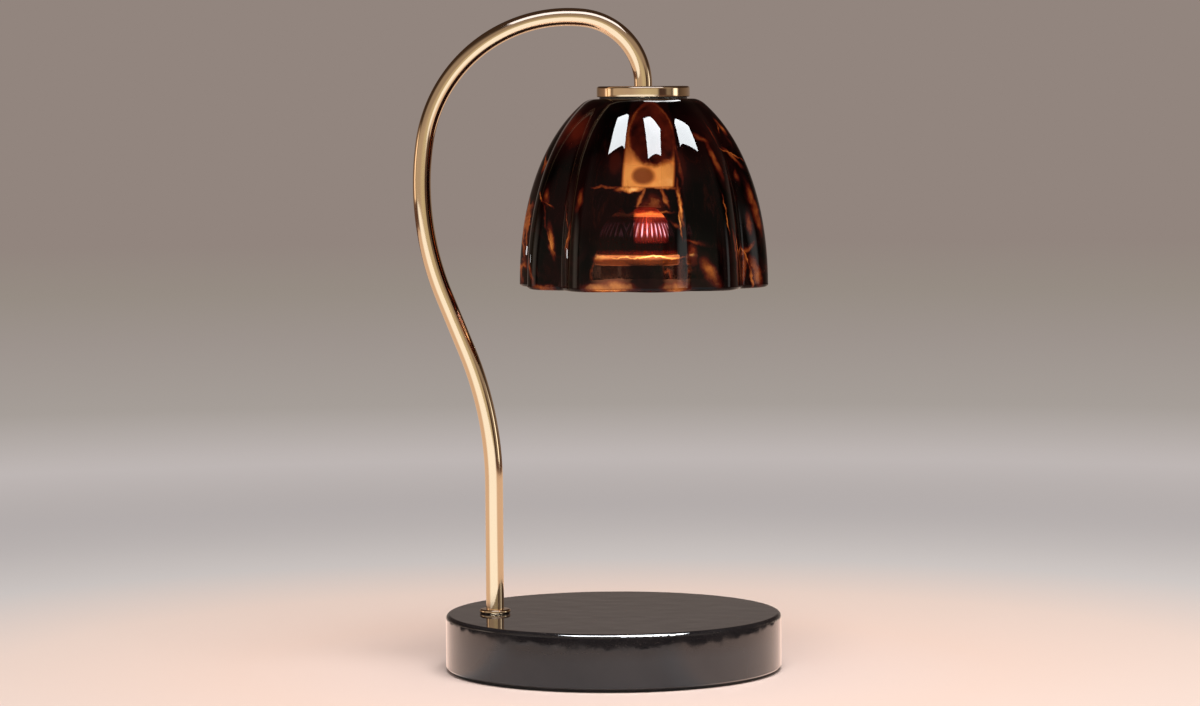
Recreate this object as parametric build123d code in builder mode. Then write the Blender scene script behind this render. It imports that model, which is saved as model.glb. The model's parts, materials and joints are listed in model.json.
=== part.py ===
from build123d import *
import os
from math import atan2, cos, degrees, radians, sin

# A table lamp that warms what stands below it: a stone foot, a bent tube and a lobed glass
# shade over a reflector bulb. Lengths are in millimetres. Z is up, X runs from the tube's
# foot towards the shade, and the origin is the middle of the underside of the foot's pad.

# Stone foot and its pad
base_diameter = 150.0
stone_thickness = 24.0
stone_edge_round = 1.8
stone_lower_chamfer = 0.6
pad_thickness = 1.2
pad_inset = 1.5

# Pocket under the stone, its cover and the channel for the mains lead
pocket_depth = 15.0
pocket_width = 28.0
cover_thickness = 2.0
cover_lip = 3.5
cover_side_lip = 9.0
cover_corner = 12.0
cover_gap = 0.2
cover_screw_end_margin = 8.0
cover_screw_side_margin = 4.5
channel_width = 8.4
inlet_bore_radius = 3.1
grommet_length = 9.0
grommet_flange_radius = 6.0
grommet_flange_thickness = 1.6

# Bent tube, followed from its foot to the shade
tube_diameter = 8.0
tube_wall = 1.0
foot_edge_distance = 22.0
rise_length = 57.9
lean_radius = 159.7
lean_angle = 22.0
slope_length = 26.2
back_radius = 131.9
back_angle = 30.4
crown_radius = 64.5
crown_angle = 87.5
drop_radius = 29.9

# Fastenings of the tube at both ends
collar_diameter = 13.8
collar_height = 1.9
nut_width = 13.0
nut_height = 4.0
washer_diameter = 18.0
washer_thickness = 1.2
lock_washer_diameter = 14.0
lock_washer_thickness = 1.0
lock_washer_slit = 1.2
thread_show = 0.8

# Cap disc, and the threaded sleeve that carries the shade
cap_diameter = 41.4
cap_thickness = 4.8
cap_chamfer = 0.5
cap_drop = 0.7
sleeve_diameter = 27.0
sleeve_wall = 1.2
sleeve_length = 20.0
gasket_diameter = 39.0
gasket_thickness = 0.8

# Glass shade
shade_rim_radius = 56.3
shade_height = 83.4
shade_crown_share = 1.1055
shade_crown_power = 2.18
shade_wall = 3.0
shade_top_thickness = 3.4
lobe_count = 10
lobe_turn = 5.0
lobe_depth_share = 0.105
lobe_fade = 0.57
section_steps = 9

# Ring nut below the glass
ring_flange_diameter = 38.0
ring_flange_thickness = 1.6
ring_grip_diameter = 33.0
ring_height = 6.0
ring_notch_count = 12
ring_notch_radius = 1.3

# Lampholder and the bracket that hangs it
holder_diameter = 23.2
holder_flats = 17.2
holder_rim = 2.0
holder_lip = 2.7
contact_height = 3.8
contact_length = 5.6
contact_width = 6.8
bracket_thickness = 0.8
bracket_plate = 1.0
bracket_width = 12.0
bracket_end_margin = 4.0
holder_screw_drop = 3.0
holder_screw_depth = 3.4

# Reflector bulb, which twists into the lampholder by two headed pins
bulb_length = 46.5
bulb_radius = 25.0
bulb_glass = 1.6
bulb_rim_height = 4.4
bulb_neck_radius = 6.8
bulb_neck_show = 0.5
bulb_neck_sink = 4.0
bulb_shoulder = 1.4
bulb_bowl_bulge = 4.0
bulb_base_length = 22.0
bulb_base_width = 15.6
bulb_base_height = 19.5
bulb_base_wall = 2.6
bulb_base_top = 3.0
lens_thickness = 2.0
lens_inset = 0.4
capsule_radius = 4.7
capsule_glass = 0.9
capsule_front = 9.0
capsule_base_gap = 8.5
capsule_plug = 4.5
filament_front_gap = 6.0
filament_half_width = 1.6
filament_wire_radius = 0.35
filament_bend = 1.0
filament_spread_start = 3.5
filament_spread_gap = 2.0
pin_spacing = 10.0
pin_shank_radius = 1.5
pin_head_radius = 2.5
pin_head_length = 3.2
pin_head_chamfer = 0.4
twist_angle = 45.0
bulb_seat_gap = 0.3

# Two insulated leads inside the tube, and the terminal block in the pocket
lead_radius = 0.8
lead_bare_radius = 0.5
lead_bare_length = 6.0
lead_gap = 0.5
lead_side = 0.95
lead_foot_bend = 3.2
lead_head_bend_height = 9.0
terminal_length = 16.0
terminal_width = 17.0
terminal_height = 10.4
terminal_pitch = 8.6
terminal_start = 28.0
lead_shift_length = 9.0
lead_straight_length = 3.0
clamp_end_gap = 1.0
clamp_width = 5.0
clamp_height = 5.4
clamp_lift = 0.8
clamp_bore_radius = 1.2
clamp_screw_radius = 1.25
clamp_screw_span = 8.0
clamp_screw_rise = 1.0
clamp_screw_head_radius = 1.7
clamp_screw_head_height = 1.2
block_screw_length = 8.0

# Small screws
screw_radius = 1.45
screw_head_radius = 2.75
screw_head_height = 1.6
cover_screw_length = 9.0
plug_radius = 2.3
plug_length = 8.0
slot_width = 0.8
slot_depth = 0.7

# Clearances
thread_fit = 0.05
easy_fit = 0.1
moving_fit = 0.3
loose_fit = 0.5
stone_hole_fit = 0.3

# Heights in the foot, from the pad's underside upwards
stone_bottom = pad_thickness
stone_top = stone_bottom + stone_thickness
base_radius = base_diameter / 2
tube_radius = tube_diameter / 2
tube_bore_radius = tube_radius - tube_wall
pocket_roof = stone_bottom + pocket_depth
cover_top = stone_bottom + cover_thickness + cover_gap
foot_offset = base_radius - foot_edge_distance
foot_x = -foot_offset
pocket_centre_x = foot_x / 2
foot_washer_z = pocket_roof - washer_thickness
foot_lock_z = foot_washer_z - lock_washer_thickness
foot_nut_z = foot_lock_z - nut_height
tube_foot_z = foot_nut_z - thread_show
lead_z = tube_foot_z - lead_foot_bend

# The tube's centre line. It ends far enough inside the cap for the stack that it clamps.
tail_length = (cap_drop + cap_thickness + sleeve_wall + bracket_plate
               + lock_washer_thickness + nut_height + thread_show)
with BuildLine(Plane.XZ) as arm_line:
    rise = Line((foot_x, tube_foot_z), (foot_x, stone_top + rise_length))
    lean = JernArc(rise @ 1, rise % 1, lean_radius, lean_angle)
    slope = Line(lean @ 1, lean @ 1 + (lean % 1) * slope_length)
    back = JernArc(slope @ 1, slope % 1, back_radius, -back_angle)
    crown = JernArc(back @ 1, back % 1, crown_radius, -crown_angle)
    drop = JernArc(crown @ 1, crown % 1, drop_radius, -(180 + lean_angle - back_angle - crown_angle))
    tail = Line(drop @ 1, drop @ 1 + Vector(0, 0, -tail_length))

# Places at the head, from the cap downwards
head_x = (tail @ 1).X
cap_top_z = (drop @ 1).Z - cap_drop
cap_z = cap_top_z - cap_thickness
shade_top_z = cap_z - gasket_thickness
shade_rim_z = shade_top_z - shade_height
shade_inner_top_z = shade_top_z - shade_top_thickness
ring_top_z = shade_inner_top_z - gasket_thickness
ring_z = ring_top_z - ring_height
sleeve_z = cap_z - sleeve_length
sleeve_radius = sleeve_diameter / 2
bracket_z = cap_z - sleeve_wall - bracket_plate
head_lock_z = bracket_z - lock_washer_thickness
head_nut_z = head_lock_z - nut_height
tube_end_z = (tail @ 1).Z
contact_top_z = tube_end_z - lead_head_bend_height
contact_z = contact_top_z - contact_height
pin_channel_z = contact_z - 2 * moving_fit - pin_head_length
holder_z = pin_channel_z - holder_lip
holder_top_z = contact_top_z + holder_rim
bulb_top_z = holder_z - bulb_seat_gap
bulb_z = bulb_top_z - bulb_length
pin_shank_length = bulb_seat_gap + holder_lip + moving_fit
print("shade axis x", round(head_x, 3), "cap top", round(cap_top_z, 3), "rim", round(shade_rim_z, 3))
print("bulb front", round(bulb_z, 3), "holder", round(holder_z, 3), round(holder_top_z, 3))
print("sleeve end", round(sleeve_z, 3), "ring", round(ring_z, 3), round(ring_top_z, 3))


def at(x, z, y=0.0):
    """A level plane at a height, with its origin at x and y."""
    return Plane(origin=(x, y, z))


def facing_down(x, z, y=0.0):
    """A level plane that looks down, with its origin at x and y."""
    return Plane(origin=(x, y, z), x_dir=(1, 0, 0), z_dir=(0, 0, -1))


def ring(plane, outer, inner, height):
    """Adds a plain ring or tube that stands on a plane to the part being built."""
    with BuildSketch(plane) as profile:
        Circle(outer)
        Circle(inner, mode=Mode.SUBTRACT)
    extrude(profile.sketch, amount=height)


def bar(plane, width, depth, height, mode=Mode.ADD):
    """Adds or cuts a block that stands on a plane."""
    with BuildSketch(plane) as profile:
        Rectangle(width, depth)
    extrude(profile.sketch, amount=height, mode=mode)


def rod(plane, radius, length):
    """Adds a round bar that starts at a plane and runs along its direction."""
    with BuildSketch(plane) as profile:
        Circle(radius)
    extrude(profile.sketch, amount=length)


def drill(plane, radius, depth):
    """Cuts a round hole that starts at a plane and runs along its direction."""
    with BuildSketch(plane) as profile:
        Circle(radius)
    extrude(profile.sketch, amount=depth, mode=Mode.SUBTRACT)


def countersink(plane, depth):
    """Cuts the hole of a countersunk screw, whose head lies flush with a plane, against its direction."""
    with BuildSketch(plane) as head_face:
        Circle(screw_head_radius + easy_fit)
    with BuildSketch(plane.offset(-screw_head_height)) as shank_face:
        Circle(screw_radius + easy_fit)
    loft([head_face.sketch, shank_face.sketch], mode=Mode.SUBTRACT)
    extrude(shank_face.sketch, amount=screw_head_height - depth, mode=Mode.SUBTRACT)


def slotted_screw(plane, length, countersunk=False):
    """Adds a screw that runs against a plane's direction. Its head stands on it, or lies flush with it."""
    under = screw_head_height if countersunk else 0
    top = 0 if countersunk else screw_head_height
    with BuildSketch(plane) as head_face:
        Circle(screw_head_radius)
    with BuildSketch(plane.offset(-under)) as shank_face:
        Circle(screw_radius)
    if countersunk:
        loft([head_face.sketch, shank_face.sketch])
    else:
        extrude(head_face.sketch, amount=screw_head_height)
    extrude(shank_face.sketch, amount=under - length)
    slot = plane.offset(top - slot_depth)
    bar(slot, 2 * screw_head_radius + slot_width, slot_width, slot_depth, Mode.SUBTRACT)


def finish_part(part, name):
    """Labels a finished piece and writes it to the parts folder."""
    part.label = name
    export_step(part, f"parts/{name}.step")


os.makedirs("parts", exist_ok=True)

# Stone disc
cover_plane = at(pocket_centre_x, stone_bottom)
cover_length = foot_offset + pocket_width + 2 * cover_lip
cover_width = pocket_width + 2 * cover_side_lip
channel_radius = channel_width / 2
channel_centre_z = stone_bottom + channel_radius
cover_screw_places = GridLocations(cover_length - 2 * cover_screw_end_margin,
                                   cover_width - 2 * cover_screw_side_margin, 2, 2)
cover_screw_sites = [(pocket_centre_x + place.position.X, place.position.Y) for place in cover_screw_places]

with BuildPart() as base_disc:
    with BuildSketch(at(0, stone_bottom)):
        Circle(base_radius)
    extrude(amount=stone_thickness)
    fillet(base_disc.edges().group_by(Axis.Z)[-1], stone_edge_round)
    chamfer(base_disc.edges().group_by(Axis.Z)[0], stone_lower_chamfer)
    with BuildSketch(cover_plane):
        RectangleRounded(cover_length + 2 * easy_fit, cover_width + 2 * easy_fit, cover_corner)
    extrude(amount=cover_thickness + cover_gap, mode=Mode.SUBTRACT)
    with BuildSketch(cover_plane):
        SlotCenterToCenter(foot_offset, pocket_width)
    extrude(amount=pocket_depth, mode=Mode.SUBTRACT)
    drill(at(foot_x, pocket_roof), tube_radius + stone_hole_fit, stone_top - pocket_roof)
    with BuildSketch(Plane.XZ):
        with Locations((0, channel_centre_z)):
            Circle(channel_radius)
        with Locations((0, stone_bottom + channel_radius / 2)):
            Rectangle(channel_width, channel_radius)
    extrude(amount=-base_diameter, mode=Mode.SUBTRACT)
    with BuildSketch(at(pocket_centre_x, cover_top)):
        with cover_screw_places:
            Circle(plug_radius + easy_fit)
    extrude(amount=plug_length + easy_fit, mode=Mode.SUBTRACT)
finish_part(base_disc.part, "base_disc")

with BuildPart() as base_pad:
    with BuildSketch(at(0, 0)):
        Circle(base_radius - pad_inset)
    extrude(amount=pad_thickness)
finish_part(base_pad.part, "base_pad")

# Cover of the pocket, screwed into nylon plugs in the stone
cover_under_z = cover_top - cover_thickness
terminal_centre_x = foot_x + terminal_start + terminal_length / 2
with BuildPart() as pocket_cover:
    with BuildSketch(at(pocket_centre_x, cover_under_z)):
        RectangleRounded(cover_length, cover_width, cover_corner - easy_fit)
    extrude(amount=cover_thickness)
    for x, y in [*cover_screw_sites, (terminal_centre_x, 0)]:
        countersink(facing_down(x, cover_under_z, y), cover_thickness)
finish_part(pocket_cover.part, "pocket_cover")

with BuildPart() as cover_plugs:
    with BuildSketch(at(pocket_centre_x, cover_top)):
        with cover_screw_places:
            Circle(plug_radius)
    extrude(amount=plug_length)
    with BuildSketch(at(pocket_centre_x, cover_top)):
        with cover_screw_places:
            Circle(screw_radius)
    extrude(amount=plug_length, mode=Mode.SUBTRACT)
finish_part(cover_plugs.part, "cover_plugs")

with BuildPart() as cover_screws:
    for x, y in cover_screw_sites:
        slotted_screw(facing_down(x, cover_under_z, y), cover_screw_length, countersunk=True)
finish_part(cover_screws.part, "cover_screws")

# Rubber grommet where the mains lead enters the channel. Its flange lies on the stone's side.
grommet_radius = channel_radius - easy_fit
grommet_start = Plane(origin=(0, base_radius - grommet_length, channel_centre_z), z_dir=(0, 1, 0),
                      x_dir=(1, 0, 0))
flange_start = grommet_start.offset(grommet_length)
flange_floor = stone_bottom + easy_fit - channel_centre_z
with BuildPart() as cord_grommet:
    with BuildSketch(grommet_start):
        Circle(grommet_radius)
        with Locations((0, -flange_floor / 2)):
            Rectangle(2 * grommet_radius, -flange_floor)
    extrude(amount=grommet_length)
    with BuildSketch(flange_start):
        Circle(grommet_flange_radius)
        with Locations((0, grommet_flange_radius - flange_floor)):
            Rectangle(2 * grommet_flange_radius, 2 * grommet_flange_radius, mode=Mode.SUBTRACT)
    extrude(amount=grommet_flange_thickness)
    with BuildSketch(grommet_start):
        Circle(inlet_bore_radius)
    extrude(amount=grommet_length + grommet_flange_thickness, mode=Mode.SUBTRACT)
finish_part(cord_grommet.part, "cord_grommet")

# Bent tube and what clamps its foot to the stone
with BuildPart() as arm_tube:
    with BuildSketch(at(foot_x, tube_foot_z)):
        Circle(tube_radius)
        Circle(tube_bore_radius, mode=Mode.SUBTRACT)
    sweep(path=arm_line.wire())
finish_part(arm_tube.part, "arm_tube")

thread_hole_radius = tube_radius + thread_fit
with BuildPart() as foot_collar:
    ring(at(foot_x, stone_top), collar_diameter / 2, thread_hole_radius, collar_height)
    outer_edges = foot_collar.edges().filter_by(GeomType.CIRCLE).group_by(SortBy.RADIUS)[-1]
    fillet(outer_edges, collar_height / 2 - easy_fit)
finish_part(foot_collar.part, "foot_collar")

with BuildPart() as foot_washer:
    ring(at(foot_x, foot_washer_z), washer_diameter / 2, thread_hole_radius, washer_thickness)
finish_part(foot_washer.part, "foot_washer")


def split_washer(x, z):
    """Adds a flat ring with a slit, which locks a nut."""
    ring(at(x, z), lock_washer_diameter / 2, thread_hole_radius, lock_washer_thickness)
    bar(at(x + lock_washer_diameter / 2, z), lock_washer_diameter, lock_washer_slit,
        lock_washer_thickness, Mode.SUBTRACT)


def hex_nut(x, z):
    """Adds a thin hexagon nut with chamfered corners."""
    with BuildSketch(at(x, z)) as hexagon:
        RegularPolygon(nut_width / 2, 6, major_radius=False)
        Circle(thread_hole_radius, mode=Mode.SUBTRACT)
    extrude(hexagon.sketch, amount=nut_height)
    with BuildSketch(at(x, z)) as corner_cone:
        Circle(nut_width / 2)
    extrude(corner_cone.sketch, amount=nut_height, taper=-45, mode=Mode.INTERSECT)


with BuildPart() as foot_lock_washer:
    split_washer(foot_x, foot_lock_z)
finish_part(foot_lock_washer.part, "foot_lock_washer")

with BuildPart() as foot_nut:
    hex_nut(foot_x, foot_nut_z)
finish_part(foot_nut.part, "foot_nut")

# Cap disc, threaded sleeve and the nut that clamps them to the tube
with BuildPart() as head_cap:
    ring(at(head_x, cap_z), cap_diameter / 2, thread_hole_radius, cap_thickness)
    outer_edges = head_cap.edges().filter_by(GeomType.CIRCLE).group_by(SortBy.RADIUS)[-1]
    chamfer(outer_edges, cap_chamfer)
finish_part(head_cap.part, "head_cap")

with BuildPart() as holder_sleeve:
    ring(at(head_x, sleeve_z), sleeve_radius, sleeve_radius - sleeve_wall, sleeve_length - sleeve_wall)
    ring(at(head_x, cap_z - sleeve_wall), sleeve_radius, thread_hole_radius, sleeve_wall)
finish_part(holder_sleeve.part, "holder_sleeve")

with BuildPart() as head_lock_washer:
    split_washer(head_x, head_lock_z)
finish_part(head_lock_washer.part, "head_lock_washer")

with BuildPart() as head_nut:
    hex_nut(head_x, head_nut_z)
finish_part(head_nut.part, "head_nut")

# Soft washers above and below the glass
shade_hole_radius = sleeve_radius + loose_fit
with BuildPart() as upper_gasket:
    ring(at(head_x, shade_top_z), gasket_diameter / 2, sleeve_radius + easy_fit, gasket_thickness)
finish_part(upper_gasket.part, "upper_gasket")

with BuildPart() as lower_gasket:
    ring(at(head_x, ring_top_z), gasket_diameter / 2, shade_hole_radius, gasket_thickness)
finish_part(lower_gasket.part, "lower_gasket")


# Glass shade: lobed sections, whose size follows one curve from the rim up to the top
def bell_radius(height, inset=0.0):
    """Radius of the lobes' crests at a height above the rim, less a wall."""
    share = height / (shade_height * shade_crown_share - inset)
    return (shade_rim_radius - inset) * (1 - share ** shade_crown_power) ** 0.5


def lobed_section(plane, height, inset):
    """One level section of the glass: equal outward arcs that meet in grooves, shallower near the top."""
    crest = bell_radius(height, inset)
    groove = crest * (1 - lobe_depth_share * (1 - lobe_fade * (height / shade_height) ** 2))
    step = 360 / lobe_count
    with BuildSketch(plane) as section:
        with BuildLine():
            for lobe in range(lobe_count):
                middle = lobe_turn - 90 + lobe * step
                ends = [(groove * cos(radians(turn)), groove * sin(radians(turn)))
                        for turn in (middle - step / 2, middle + step / 2)]
                top = (crest * cos(radians(middle)), crest * sin(radians(middle)))
                ThreePointArc(ends[0], top, ends[1])
        make_face()
    return section.sketch


def bell(base, height, inset):
    """A solid bell from the rim up to a height, its sections closer together near the top."""
    heights = [height * sin(radians(90 * step / section_steps)) for step in range(section_steps + 1)]
    with BuildPart() as form:
        loft([lobed_section(base.offset(level), level, inset) for level in heights])
    return form.part


rim_plane = at(head_x, shade_rim_z)
outer_bell = bell(rim_plane, shade_height, 0.0)
inner_bell = bell(rim_plane, shade_height - shade_top_thickness, shade_wall)
with BuildPart() as shade:
    add(outer_bell)
    add(inner_bell, mode=Mode.SUBTRACT)
    drill(at(head_x, shade_inner_top_z), shade_hole_radius, shade_top_thickness)
finish_part(shade.part, "shade")

# Ring nut, which is turned by hand from inside the shade
with BuildPart() as shade_ring:
    ring(at(head_x, ring_z), ring_grip_diameter / 2, sleeve_radius + moving_fit, ring_height)
    with BuildSketch(at(head_x, ring_z)):
        with PolarLocations(ring_grip_diameter / 2, ring_notch_count):
            Circle(ring_notch_radius)
    extrude(amount=ring_height, mode=Mode.SUBTRACT)
    ring(at(head_x, ring_top_z - ring_flange_thickness), ring_flange_diameter / 2,
         sleeve_radius + moving_fit, ring_flange_thickness)
finish_part(shade_ring.part, "shade_ring")

# Bracket: a bent strip under the sleeve's top, with a leg on each side of the lampholder
leg_inner = holder_flats / 2
leg_outer = leg_inner + bracket_thickness
leg_bottom_z = holder_z + bracket_end_margin
holder_screw_z = holder_top_z - holder_screw_drop
with BuildPart() as holder_bracket:
    bar(at(head_x, bracket_z), bracket_width, 2 * leg_outer, bracket_plate)
    for side in (-1, 1):
        leg_y = side * (leg_inner + leg_outer) / 2
        bar(at(head_x, leg_bottom_z, leg_y), bracket_width, bracket_thickness, bracket_z - leg_bottom_z)
    drill(at(head_x, bracket_z), thread_hole_radius, bracket_plate)
    across = Plane(origin=(head_x, -leg_outer, holder_screw_z), x_dir=(1, 0, 0), z_dir=(0, 1, 0))
    drill(across, screw_radius + easy_fit, 2 * leg_outer)
finish_part(holder_bracket.part, "holder_bracket")

with BuildPart() as holder_screws:
    for side in (-1, 1):
        face = Plane(origin=(head_x, side * leg_outer, holder_screw_z), z_dir=(0, side, 0))
        slotted_screw(face, bracket_thickness + holder_screw_depth)
finish_part(holder_screws.part, "holder_screws")

# Lampholder: a round ceramic with two flats and a keyhole slot for each pin of the bulb.
# At rest the pins stand on the X axis, and the slots open towards the twisted place.
pin_circle = pin_spacing / 2
slot_arcs = [CenterArc((0, 0), pin_circle, start - twist_angle, twist_angle) for start in (0, 180)]
holder_height = holder_top_z - holder_z
with BuildPart() as lampholder:
    with BuildSketch(at(head_x, holder_z)):
        Circle(holder_diameter / 2)
        Rectangle(holder_diameter, holder_flats, mode=Mode.INTERSECT)
    extrude(amount=holder_height)
    with BuildSketch(at(head_x, holder_z)):
        for arc in slot_arcs:
            SlotArc(arc, 2 * (pin_shank_radius + moving_fit))
    extrude(amount=holder_lip, mode=Mode.SUBTRACT)
    with BuildSketch(at(head_x, holder_z)):
        with PolarLocations(pin_circle, 2, start_angle=-twist_angle):
            Circle(pin_head_radius + moving_fit)
    extrude(amount=holder_lip, mode=Mode.SUBTRACT)
    with BuildSketch(at(head_x, pin_channel_z)):
        for arc in slot_arcs:
            SlotArc(arc, 2 * (pin_head_radius + moving_fit))
    extrude(amount=contact_z - pin_channel_z, mode=Mode.SUBTRACT)
    with BuildSketch(at(head_x, contact_z)):
        with Locations((-pin_circle, 0), (pin_circle, 0)):
            Rectangle(contact_length + 2 * easy_fit, contact_width + 2 * easy_fit)
    extrude(amount=holder_top_z - contact_z, mode=Mode.SUBTRACT)
    for side in (-1, 1):
        face = Plane(origin=(head_x, side * leg_inner, holder_screw_z), z_dir=(0, -side, 0))
        drill(face, screw_radius + thread_fit, holder_screw_depth + easy_fit)
finish_part(lampholder.part, "lampholder")

# Spring contacts, drawn as blocks above the pins, each with a socket for a lead's bare end
with BuildPart() as lampholder_contacts:
    for side in (-1, 1):
        bar(at(head_x + side * pin_circle, contact_z), contact_length, contact_width, contact_height)
        socket_top = facing_down(head_x + side * pin_circle, contact_top_z, side * lead_side)
        drill(socket_top, lead_bare_radius + easy_fit, contact_height)
finish_part(lampholder_contacts.part, "lampholder_contacts")

# Terminal block on the pocket's cover. Its brass clamps lie along X, one for each lead.
terminal_start_x = foot_x + terminal_start
clamp_centre_z = lead_z + clamp_lift
clamp_top_z = clamp_centre_z + clamp_height / 2
clamp_screw_z = clamp_top_z + clamp_screw_rise
clamp_screw_sites = [(terminal_centre_x + along * clamp_screw_span / 2, side * terminal_pitch / 2)
                     for along in (-1, 1) for side in (-1, 1)]
terminal_top_z = cover_top + terminal_height
with BuildPart() as terminal_block:
    bar(at(terminal_centre_x, cover_top), terminal_length, terminal_width, terminal_height)
    for side in (-1, 1):
        tunnel = Plane(origin=(terminal_start_x, side * terminal_pitch / 2, clamp_centre_z),
                       x_dir=(0, 1, 0), z_dir=(1, 0, 0))
        bar(tunnel, clamp_width + 2 * easy_fit, clamp_height + 2 * easy_fit, terminal_length, Mode.SUBTRACT)
    for x, y in clamp_screw_sites:
        drill(at(x, clamp_top_z, y), clamp_screw_head_radius + easy_fit, terminal_top_z - clamp_top_z)
    drill(at(terminal_centre_x, cover_top), screw_radius + thread_fit, block_screw_length)
finish_part(terminal_block.part, "terminal_block")

with BuildPart() as terminal_clamps:
    for side in (-1, 1):
        end = Plane(origin=(terminal_start_x + clamp_end_gap, side * terminal_pitch / 2, clamp_centre_z),
                    x_dir=(0, 1, 0), z_dir=(1, 0, 0))
        bore = Plane(origin=(terminal_start_x, side * terminal_pitch / 2, lead_z), z_dir=(1, 0, 0))
        bar(end, clamp_width, clamp_height, terminal_length - 2 * clamp_end_gap)
        drill(bore, clamp_bore_radius, terminal_length)
    for x, y in clamp_screw_sites:
        drill(at(x, lead_z, y), clamp_screw_radius + thread_fit, clamp_top_z - lead_z)
finish_part(terminal_clamps.part, "terminal_clamps")

with BuildPart() as terminal_screws:
    for x, y in clamp_screw_sites:
        rod(at(x, clamp_screw_z, y), clamp_screw_head_radius, clamp_screw_head_height)
        rod(facing_down(x, clamp_screw_z, y), clamp_screw_radius, clamp_screw_z - lead_z - lead_bare_radius)
        slot = at(x, clamp_screw_z + clamp_screw_head_height - slot_depth, y)
        bar(slot, 2 * clamp_screw_head_radius + slot_width, slot_width, slot_depth, Mode.SUBTRACT)
finish_part(terminal_screws.part, "terminal_screws")

with BuildPart() as block_screw:
    under_block = facing_down(terminal_centre_x, cover_under_z)
    slotted_screw(under_block, block_screw_length + cover_thickness - easy_fit, countersunk=True)
finish_part(block_screw.part, "block_screw")


# Leads. Each runs from its clamp to the tube's foot, up inside the tube, and to its contact.
def side_step(shift, length):
    """Radius and turn of the two equal arcs that move a line sideways by a shift over a length."""
    return (shift ** 2 + length ** 2) / (4 * shift), 2 * degrees(atan2(shift, length))


def lead(side):
    """One insulated lead with bare ends, on its own side of the tube's centre line."""
    y = side * lead_side
    foot_step = side_step(terminal_pitch / 2 - lead_side, lead_shift_length)
    head_step = side_step(pin_circle, lead_head_bend_height - lead_gap)
    shift_end_x = terminal_start_x - lead_straight_length
    with BuildLine(Plane(origin=(0, y, 0), x_dir=(1, 0, 0), z_dir=(0, -1, 0))) as foot_bend:
        turn = JernArc((foot_x, tube_foot_z), (0, -1), lead_foot_bend, 90)
        Line(turn @ 1, (shift_end_x - lead_shift_length, lead_z))
    with BuildLine(Plane.XY.offset(lead_z)) as foot_shift:
        start = Vector(shift_end_x - lead_shift_length, y, lead_z)
        out = JernArc(start, Vector(1, 0, 0), foot_step[0], side * foot_step[1])
        level = JernArc(out @ 1, out % 1, foot_step[0], -side * foot_step[1])
        Line(level @ 1, level @ 1 + Vector(lead_straight_length + lead_gap, 0, 0))
    with BuildLine(Plane(origin=(0, y, 0), x_dir=(1, 0, 0), z_dir=(0, -1, 0))) as head_bend:
        out = JernArc((head_x, tube_end_z), (0, -1), head_step[0], side * head_step[1])
        JernArc(out @ 1, out % 1, head_step[0], -side * head_step[1])
    inside_tube = arm_line.line.moved(Location((0, y, 0)))
    path = Wire([*foot_shift.edges(), *foot_bend.edges(), *inside_tube.edges(), *head_bend.edges()])
    with BuildPart() as cable:
        with BuildSketch(Plane(origin=path @ 0, z_dir=path % 0)):
            Circle(lead_radius)
        sweep(path=path)
        foot_end = Vector(terminal_start_x + lead_gap, side * terminal_pitch / 2, lead_z)
        rod(Plane(origin=foot_end, z_dir=(1, 0, 0)), lead_bare_radius, lead_bare_length)
        head_end = facing_down(head_x + side * pin_circle, contact_top_z + lead_gap, y)
        rod(head_end, lead_bare_radius, contact_height)
    print("lead", side, "length", round(path.length, 1), "volume", round(cable.part.volume, 1))
    return cable.part


finish_part(lead(1), "lead_live")
finish_part(lead(-1), "lead_neutral")

# Bulb, drawn upwards from its front. The profiles lie in the plane of radius and height.
bulb_axis = Axis((head_x, 0, 0), (0, 0, 1))
bulb_profile = Plane(origin=(head_x, 0, bulb_z), x_dir=(1, 0, 0), z_dir=(0, -1, 0))
bowl_radius = bulb_radius - bulb_shoulder
bulb_bore_radius = capsule_radius + easy_fit
rim_inner = bulb_radius - bulb_glass
lens_seat = lens_inset + lens_thickness
base_start = bulb_length - bulb_base_height
neck_start = base_start - bulb_neck_show
neck_end = base_start + bulb_neck_sink
base_ceiling = bulb_length - bulb_base_top
capsule_end = base_ceiling - capsule_base_gap


def bowl_arc(start, end):
    """The bowl's outward curve between two points, in the same bulge for both faces of the glass."""
    chord = Vector(*end) - Vector(*start)
    outward = Vector(chord.Y, -chord.X).normalized()
    middle = (Vector(*start) + Vector(*end)) / 2 + outward * bulb_bowl_bulge
    ThreePointArc(start, (middle.X, middle.Y), end)


with BuildPart() as bulb_reflector:
    with BuildSketch(bulb_profile):
        with BuildLine():
            Polyline((bowl_radius, bulb_rim_height), (bulb_radius, bulb_rim_height), (bulb_radius, 0),
                     (rim_inner, 0), (rim_inner, lens_seat), (bowl_radius - bulb_glass, lens_seat),
                     (bowl_radius - bulb_glass, bulb_rim_height))
            bowl_arc((bowl_radius - bulb_glass, bulb_rim_height),
                     (bulb_bore_radius, neck_start - bulb_glass))
            Polyline((bulb_bore_radius, neck_start - bulb_glass), (bulb_bore_radius, neck_end),
                     (bulb_neck_radius, neck_end), (bulb_neck_radius, neck_start))
            bowl_arc((bowl_radius, bulb_rim_height), (bulb_neck_radius, neck_start))
        make_face()
    revolve(axis=bulb_axis)
finish_part(bulb_reflector.part, "bulb_reflector")

with BuildPart() as bulb_lens:
    rod(at(head_x, bulb_z + lens_inset), rim_inner - easy_fit, lens_thickness)
finish_part(bulb_lens.part, "bulb_lens")

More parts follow.
